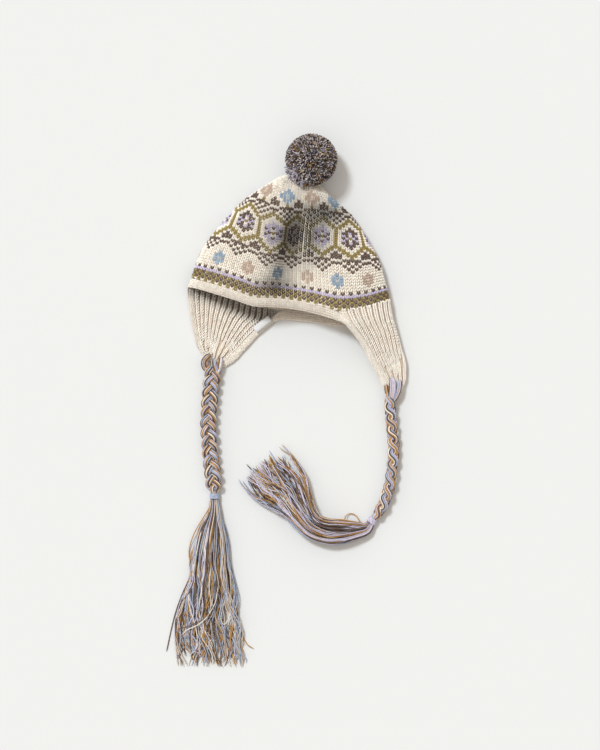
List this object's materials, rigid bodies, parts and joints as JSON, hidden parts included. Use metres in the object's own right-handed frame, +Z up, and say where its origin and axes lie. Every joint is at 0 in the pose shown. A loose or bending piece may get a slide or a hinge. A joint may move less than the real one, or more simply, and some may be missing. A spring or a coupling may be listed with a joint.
{
  "type": "knitted ear-flap hat with pompom and braided tassel ties",
  "caption": "Knitted dome hat with stranded colour pattern, ribbed ear flaps, pompom and braided ties that end in tassels, lying flat.",
  "frame": {"origin": "on the surface it lies on, below the middle of the hat's box without its braids and tassels", "axes": "+Z up from the surface, +Y from the brim towards the pompom, +X to the right as seen from above"},
  "size_m": [0.2581, 0.5923, 0.061],
  "materials": {
    "crown_knit": "matt stranded colourwork knit in cream, olive, brown, lilac, blue and tan wool",
    "edging_knit": "matt fine plain knit in cream wool",
    "rib_knit": "matt ribbed knit in cream wool",
    "label_tape": "plain white woven tape",
    "pompom_yarn": "cut yarn ends in brown, lilac, ochre and cream",
    "braid_yarn": "plaited fine yarns in lilac, blue grey, ochre, tan and brown",
    "tie_yarn": "blue grey yarn wound tightly",
    "tassel_yarn": "loose fine yarns in lilac, blue grey, ochre, tan, cream and brown"
  },
  "bodies": {
    "root": {"crown": "crown_knit", "front_edging": "edging_knit", "back_edging": "edging_knit", "ear_flap_left": "rib_knit", "ear_flap_right": "rib_knit", "side_label": "label_tape", "pompom": "pompom_yarn", "braid_left": "braid_yarn", "braid_right": "braid_yarn", "braid_tie_left": "tie_yarn", "braid_tie_right": "tie_yarn", "tassel_left": "tassel_yarn", "tassel_right": "tassel_yarn"}
  },
  "joints": []
}
